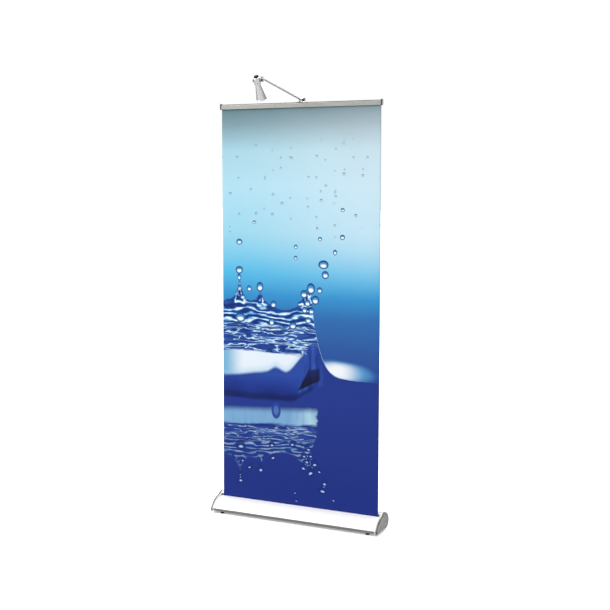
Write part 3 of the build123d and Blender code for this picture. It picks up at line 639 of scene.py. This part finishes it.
def bowl_ridges(look, water, crown):
    """Contour bands under the rim, swelling and tapering along their length, over choppy ripples."""
    wx, wz, swell, chop = water.wx, water.wz, water.swell, water.chop
    streak = look.noise(look.vector(wx * 16.0, wz * 60.0, 5.0), 1.0, detail=2)
    lean = (crown - RIM) * (crown - wz).rise(0.05, 0.0) * 0.7
    contour = lean - wz + RIM + swell * 0.085 + water.broad * 0.05
    wave = look.math("SINE", contour * (2 * math.pi / BAND_PITCH))
    bands = look.ramp(wave * 0.27 + streak * 0.95 + 0.01, [
        (0.24, from_display(20, 44, 116)), (0.44, from_display(38, 82, 158)),
        (0.56, from_display(62, 122, 190)), (0.70, from_display(176, 220, 242)),
        (0.82, from_display(240, 250, 255)),
    ])
    ripples = look.ramp(chop, [
        (0.34, from_display(24, 50, 128)), (0.46, from_display(46, 90, 168)),
        (0.52, from_display(58, 108, 182)), (0.64, from_display(34, 62, 146)),
    ])
    ripples = look.mix((chop - 0.50).abs().rise(0.034, 0.010), ripples, from_display(206, 236, 250))
    ripples = look.mix((chop - 0.585).abs().rise(0.026, 0.008) * 0.9, ripples, from_display(12, 24, 80))
    return look.mix((wz + swell * 0.03).rise(0.992, 0.972), bands, ripples)


def bowl_pool(look, water, inside):
    """Dark water low in the bowl, and the bright pool in it, which has a rounded floor and a hump."""
    wx, wz, chop = water.wx, water.wz, water.chop
    body = look.ramp((wz - 0.6) * 5.0 + water.broad * 0.4, [
        (0.02, from_display(18, 36, 106)), (0.26, from_display(30, 54, 140)),
        (0.60, from_display(40, 74, 160)),
    ])
    inside = look.mix((wz + water.fine * 0.010).rise(0.842, 0.830), inside, body)
    hump = look.math("EXPONENT", (wx + 0.126) * (wx + 0.126) * -900.0) * 0.022
    bed = wx.rise(-0.45, -0.10) * 0.040 + wx.rise(-0.075, 0.055) * 0.105 + hump + 0.695
    pool = (wz - bed).rise(-0.004, 0.016) * (wz + chop * 0.036).rise(0.856, 0.842) * wx.rise(0.040, 0.022)
    shine = look.mix(wx.rise(-0.42, -0.30), from_display(118, 178, 214), from_display(228, 238, 248))
    shine = look.mix((wz - bed).rise(0.050, 0.0) * 0.5, shine, from_display(150, 196, 226))
    return look.mix(pool, inside, shine)


def bowl_right_side(look, water, inside):
    """The streaky right wall, the dark shadow at its foot, the bowl's foot line and the calm water."""
    wx, wz = water.wx, water.wz
    wall = (wx - wz * 0.20 + 0.128).rise(-0.010, 0.012) * (wz + water.chop * 0.08).rise(0.970, 0.900)
    sheen = look.noise(look.vector(wx * 44.0, wz * 7.0, 3.0), 1.0, detail=2)
    facet = look.ramp(sheen, [(0.38, from_display(30, 52, 138)), (0.68, from_display(50, 88, 172))])
    inside = look.mix(wall, inside, facet)
    shadow = (wz - wx * 0.5 - 0.650).rise(0.0, 0.007) * (wx + 0.010 - (wz - 0.644) * 0.52).rise(0.0, 0.007)
    shadow = shadow * wx.rise(0.120, 0.108) * (wx * 0.17 + 0.758 - wz).rise(0.0, 0.016)
    shade = look.mix(wz.rise(0.68, 0.76), from_display(10, 10, 30), from_display(20, 30, 84))
    inside = look.mix(shadow * 0.94, inside, shade)
    floor_line = wx.rise(-0.06, 0.16) * 0.10 + 0.604
    foot = (wz - floor_line).abs().rise(0.026, 0.006)
    inside = look.mix(foot * 0.8 * water.in_bowl, inside, from_display(16, 32, 96))
    calm = (floor_line - wz).rise(0.004, 0.020).max(wx.rise(0.105, 0.150))
    return look.mix(calm * water.above, inside, from_display(33, 55, 138))


def print_mirror_band(look, water, picture):
    """A pale band along the top of the mirror image, ragged at its right end."""
    x, z, below = water.x, water.z, water.below
    dip = water.waterline - z + water.fine * 0.006
    end = (x + water.ripple * 0.03).rise(0.108, 0.090)
    band = dip.rise(-0.004, 0.040) * (dip + water.chop * 0.030).rise(0.114, 0.098) * end
    veil = look.noise(look.vector(x * 26.0, z * 4.0, 2.0), 1.0, detail=2)
    pale = look.mix(x.rise(-0.06, 0.08), from_display(128, 176, 214), from_display(176, 216, 232))
    pale = look.mix(veil.rise(0.4, 0.7) * 0.45, pale, from_display(106, 154, 204))
    cover = below * dip.rise(0.110, 0.096) * end
    picture = look.mix(cover, picture, from_display(28, 46, 128))
    return look.mix(band * below * 0.92, picture, pale)


def print_splash(look, water, picture):
    """The drops of the list, in the air and again in the mirror image."""
    nearest, local_x, local_z = None, None, None
    for place, level, radius, tall in DROPS:
        dx = (water.wx - place) / radius
        dz = (water.wz - level) * (1 - water.below * 0.30) / (radius * tall)
        far = dx * dx + dz * dz
        near = far.rise(1.2, 1.1)
        nearest = far if nearest is None else nearest.min(far)
        local_x = dx * near if local_x is None else local_x + dx * near
        local_z = dz * near if local_z is None else local_z + dz * near
    return drop_layer(look, picture, nearest, local_x, local_z, 1 - water.below * 0.1, water.below)


def print_hanging_drop(look, water, picture):
    """One long drop hanging in the mirror image."""
    hanging = ellipse(water.x, water.z, (-0.124, 0.543), 0.026, 0.043)
    picture = look.mix(hanging.rise(1.1, 0.85) * 0.95, picture, from_display(36, 66, 150))
    return look.mix(hanging.rise(0.46, 0.10) * 0.45, picture, from_display(104, 146, 206))


def print_spray(look, water, picture):
    """Fine spray over the sky, one drop to a cell of a scattered grid."""
    for scale, size, empty, shift in SPRAY:
        cell_x, cell_z = water.x * scale + shift, water.z * scale + shift
        cells = look.add("ShaderNodeTexVoronoi", voronoi_dimensions="2D")
        look.join(look.vector(cell_x, cell_z), cells.inputs["Vector"])
        cells.inputs["Scale"].default_value = 1.0
        cells.inputs["Randomness"].default_value = 0.8
        centre_x, centre_z, _ = look.split(cells.outputs["Position"])
        pick, vary, _ = look.split(cells.outputs["Color"])
        radius = (0.45 + vary * 0.55) * size
        dx, dz = (cell_x - centre_x) / radius, (cell_z - centre_z) / radius
        chosen = pick.rise(empty, empty + 0.02)
        where = water.down.rise(0.05, 0.12) * water.down.rise(0.36, 0.28) * chosen * 0.8
        picture = drop_layer(look, picture, dx * dx + dz * dz, dx, dz, where)
    return picture


def drop_layer(look, picture, far, dx, dz, strength, dark=0.0):
    """Lay round drops over the picture, each a small lens: a dark rim, with light gathered low inside.

    far is the squared distance in drop radii. Where dark is 1 they are dark drops in the mirror
    image, each with a small glint."""
    body = far.rise(1.06, 0.94)
    tint = look.ramp(dz * -0.5 + 0.5, [
        (0.10, from_display(28, 84, 156)), (0.45, from_display(96, 170, 214)),
        (0.80, from_display(150, 208, 234)),
    ])
    low_light = dx * dx * 1.3 + (dz + 0.28) * (dz + 0.28) * 3.2
    tint = look.mix(low_light.rise(0.62, 0.22), tint, from_display(246, 252, 255))
    ring = far.rise(0.30, 0.66)
    tint = look.mix(ring * 0.9, tint, from_display(20, 62, 132))
    glint = dx * dx * 2.4 + (dz - 0.34) * (dz - 0.34) * 7.0
    mirrored = look.mix(glint.rise(0.50, 0.16), from_display(24, 44, 120), from_display(176, 206, 244))
    tint = look.mix(dark, tint, mirrored)
    return look.mix(body * strength, picture, tint)


def film_back_look():
    """Unprinted back of the film: light-stopping grey with a faint weave."""
    look = Look("film_back", roughness=0.5)
    at = look.coords()
    warp = look.noise(look.stretch(at, (900, 900, 60)), 1.0, detail=2)
    weft = look.noise(look.stretch(at, (60, 900, 900)), 1.0, detail=2)
    cloud = look.noise(at, 3, detail=4)
    weave = warp + weft
    look.colour(look.ramp(cloud * 0.5 + weave * 0.25, [
        (0.35, (0.62, 0.63, 0.64)), (0.65, (0.70, 0.71, 0.72))]))
    look.rough(weave * 0.08 + 0.42)
    look.bump(weave, 0.00002)
    return look


# ---------------------------------------------------------------- the film
FILM = 0.0004           # thickness
GRIPPED_FROM = 0.97     # share of the panel's height above which the rail's grips hold it flat
EDGE_CURL = 0.0030      # how far the side edges curl back, which starts this far from the middle:
CURL_FROM = 0.375
FEED_BOW = 0.0006
ROLL_TURNS = 5


def film_offset(x, t):
    """How far the panel stands behind its plane, by place across and share of height."""
    t = min(1.0, t / GRIPPED_FROM)
    hang = math.sin(math.pi * t)
    edge = max(0.0, (abs(x) - CURL_FROM) / (HALF_WIDTH - CURL_FROM))
    curl = EDGE_CURL * edge * edge * hang
    sway = 0.0006 * math.sin(9.0 * x + 5.0 * t + 0.6) * hang
    pull = 0.0005 * math.sin(33.0 * x) * math.exp(-(1 - t) * 9.0) * min(1.0, (1 - t) * 30)
    roll = 0.0005 * math.sin(150.0 * t + 2.0 * x) * math.exp(-t * 16.0) * min(1.0, t * 30)
    return curl + sway + pull + roll


def sheet_faces(rows, columns):
    """Faces of a thin sheet: the first layer, the second layer, then the four edges.

    Its points run by layer, then by row, then across."""
    layer = (rows + 1) * (columns + 1)

    def at(side, r, c):
        return side * layer + r * (columns + 1) + c

    cells = [(r, c) for r in range(rows) for c in range(columns)]
    faces = [(at(0, r, c), at(0, r, c + 1), at(0, r + 1, c + 1), at(0, r + 1, c)) for r, c in cells]
    faces += [(at(1, r, c), at(1, r + 1, c), at(1, r + 1, c + 1), at(1, r, c + 1)) for r, c in cells]
    for c in range(columns):
        faces.append((at(0, 0, c), at(1, 0, c), at(1, 0, c + 1), at(0, 0, c + 1)))
        faces.append((at(0, rows, c), at(0, rows, c + 1), at(1, rows, c + 1), at(1, rows, c)))
    for r in range(rows):
        faces.append((at(0, r, 0), at(0, r + 1, 0), at(1, r + 1, 0), at(1, r, 0)))
        faces.append((at(0, r, columns), at(1, r, columns), at(1, r + 1, columns), at(0, r + 1, columns)))
    return faces


def make_film_panel(front, back):
    """The printed panel, from the slot in the cassette up to the grips of the rail."""
    columns, rows = 100, 220
    low = PANEL_LOW[2]
    points = []
    for side in (-1, 1):
        for r in range(rows + 1):
            t = r / rows
            for c in range(columns + 1):
                x = -HALF_WIDTH + 2 * HALF_WIDTH * c / columns
                y = film_offset(x, t) + side * FILM / 2
                points.append((x, y, low + PRINT_LENGTH * t))
    film = make_piece("graphic_film", points, sheet_faces(rows, columns))
    film.data.materials.append(front.material)
    film.data.materials.append(back.material)
    for polygon in film.data.polygons[rows * columns:]:
        polygon.material_index = 1
    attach(film, "cassette")
    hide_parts("graphic_panel")
    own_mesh(film)


def ribbon(name, line, half_width, across=8):
    """A strip of film along X whose section follows a line of (y, z) points."""
    count = len(line)
    normals = []
    for i in range(count):
        a, b = line[max(0, i - 1)], line[min(count - 1, i + 1)]
        run = math.hypot(b[0] - a[0], b[1] - a[1])
        normals.append(((b[1] - a[1]) / run, -(b[0] - a[0]) / run))
    points = []
    for side in (-0.5, 0.5):
        for (y, z), (ny, nz) in zip(line, normals):
            for c in range(across + 1):
                x = -half_width + 2 * half_width * c / across
                points.append((x, y + ny * side * FILM, z + nz * side * FILM))
    return make_piece(name, points, sheet_faces(count - 1, across))


def make_film_feed(look):
    """The film's short run from the roll up to the slot in the cassette."""
    low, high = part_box("graphic_feed")
    foot, top = (low[1] + FILM, low[2]), (0.0, high[2])
    steps = 8
    line = []
    for i in range(steps + 1):
        t = i / steps
        bow = FEED_BOW * math.sin(math.pi * t)
        line.append((foot[0] + (top[0] - foot[0]) * t - bow, foot[1] + (top[1] - foot[1]) * t))
    feed = ribbon("graphic_feed_film", line, high[0])
    feed.data.materials.append(look.material)
    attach(feed, "cassette")
    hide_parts("graphic_feed")


def make_film_roll(look):
    """The turns of film that stay on the roller, as a spiral."""
    low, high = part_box("graphic_wrap")
    core_low, core_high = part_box("roller_tube")
    cy, cz = (low[1] + high[1]) / 2, (low[2] + high[2]) / 2
    outer = (high[1] - low[1]) / 2
    inner = (core_high[1] - core_low[1]) / 2
    start, end = inner + FILM, outer - FILM * 0.6
    steps = ROLL_TURNS * 56
    line, length = [], 0.0
    for i in range(steps + 1):
        t = i / steps
        radius = start + (end - start) * t
        angle = 2 * math.pi * ROLL_TURNS * (t - 1)
        line.append((cy + radius * math.cos(angle), cz + radius * math.sin(angle)))
        if i:
            length += math.dist(line[-1], line[-2])
    roll = ribbon("graphic_roll", line, high[0], across=4)
    roll.data.materials.append(look.material)
    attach(roll, "roller")
    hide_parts("graphic_wrap")


def leader_look():
    """Film below the picture: the picture's deep blue, with handling scuffs."""
    look = Look("leader_film", coat_weight=0.12, coat_roughness=0.2)
    at = look.coords()
    scuff = look.noise(look.stretch(at, (4, 160, 160)), 1.0, detail=4)
    look.colour(look.ramp(scuff, [(0.35, from_display(32, 50, 128)), (0.65, from_display(40, 62, 146))]))
    look.rough(scuff * 0.15 + 0.28)
    look.bump(scuff, 0.00001)
    return look


# ---------------------------------------------------------------- lamp details
def head_frame():
    """Centre and axes of the lamp head: origin in the glass, the last axis along the cone."""
    axis = Vector(HEAD_AXIS)
    low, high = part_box("lamp_front_glass")
    centre = (Vector(low) + Vector(high)) / 2
    side = Vector((1, 0, 0))
    return centre, side, axis.cross(side), axis


def make_reflector():
    """Faceted mirror bowl behind the glass; every other ring of facets is turned by half a facet."""
    centre, side, out, axis = head_frame()
    sectors, rings = 30, 9
    throat, mouth, depth, wall = 0.0060, 0.0232, 0.0370, 0.0007
    lift = 0.0012
    points, faces = [], []
    for layer in (0, 1):
        for r in range(rings + 1):
            t = r / rings
            radius = throat + (mouth - throat) * t ** 0.62 + layer * wall
            level = lift + depth * (1 - t)
            for s in range(sectors):
                turn = 2 * math.pi * (s + 0.5 * (r % 2)) / sectors
                spoke = side * math.cos(turn) + out * math.sin(turn)
                points.append(centre + axis * level + spoke * radius)
    count = (rings + 1) * sectors

    def at(layer, r, s):
        return layer * count + r * sectors + s % sectors

    for r in range(rings):
        turned = r % 2
        for s in range(sectors):
            a, b = at(0, r, s), at(0, r, s + 1)
            c, d = at(0, r + 1, s + turned), at(0, r + 1, s + turned + 1)
            pair = [(a, c, b), (b, c, d)] if turned else [(a, d, b), (a, c, d)]
            faces += pair
            faces += [tuple(i + count for i in reversed(face)) for face in pair]
    for s in range(sectors):
        faces.append((at(0, 0, s), at(0, 0, s + 1), at(1, 0, s + 1), at(1, 0, s)))
        faces.append((at(0, rings, s), at(1, rings, s), at(1, rings, s + 1), at(0, rings, s + 1)))
    bowl = make_piece("lamp_reflector_facets", points, faces, smooth=False)
    look = turned_metal("reflector_mirror", (0.88, 0.90, 0.93), 0.08, HEAD_AXIS, depth=0.000002)
    bowl.data.materials.append(look.material)
    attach(bowl, "lamp_head")
    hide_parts("lamp_reflector")


def make_filament():
    """Coiled wire across the capsule, with its two supports."""
    centre, side, _, axis = head_frame()
    third = axis.cross(side)
    low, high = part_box("lamp_capsule")
    middle = (Vector(low) + Vector(high)) / 2
    below_middle = 0.0052
    base = centre + axis * ((middle - centre).dot(axis) - below_middle)
    wire_radius, coil_radius, half_coil = 0.00012, 0.00055, 0.0016
    support_place, support_height = side * 0.0018, axis * 0.009
    turns, steps = 9, 12
    track = [base + support_height - support_place, base - support_place]
    for i in range(turns * steps + 1):
        t = i / (turns * steps)
        turn = 2 * math.pi * turns * t
        track.append(base + side * (half_coil * (2 * t - 1)) + axis * (coil_radius * math.cos(turn))
                     + third * (coil_radius * math.sin(turn)))
    track += [base + support_place, base + support_height + support_place]
    curve = bpy.data.curves.new("lamp_filament", "CURVE")
    curve.dimensions = "3D"
    curve.bevel_depth = wire_radius
    curve.bevel_resolution = 2
    spline = curve.splines.new("POLY")
    spline.points.add(len(track) - 1)
    for point, at in zip(spline.points, track):
        point.co = (*at, 1)
    wire = bpy.data.objects.new("lamp_filament", curve)
    bpy.context.collection.objects.link(wire)
    look = drawn_metal("filament_tungsten", (0.42, 0.40, 0.38), 0.4, (900, 900, 900))
    wire.data.materials.append(look.material)
    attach(wire, "lamp_head")


# ---------------------------------------------------------------- build
make_floor()
dress_hard_parts()
film_back = film_back_look()
leader = leader_look()
make_film_panel(print_look(), film_back)
make_film_feed(leader)
make_film_roll(leader)
make_reflector()
make_filament()
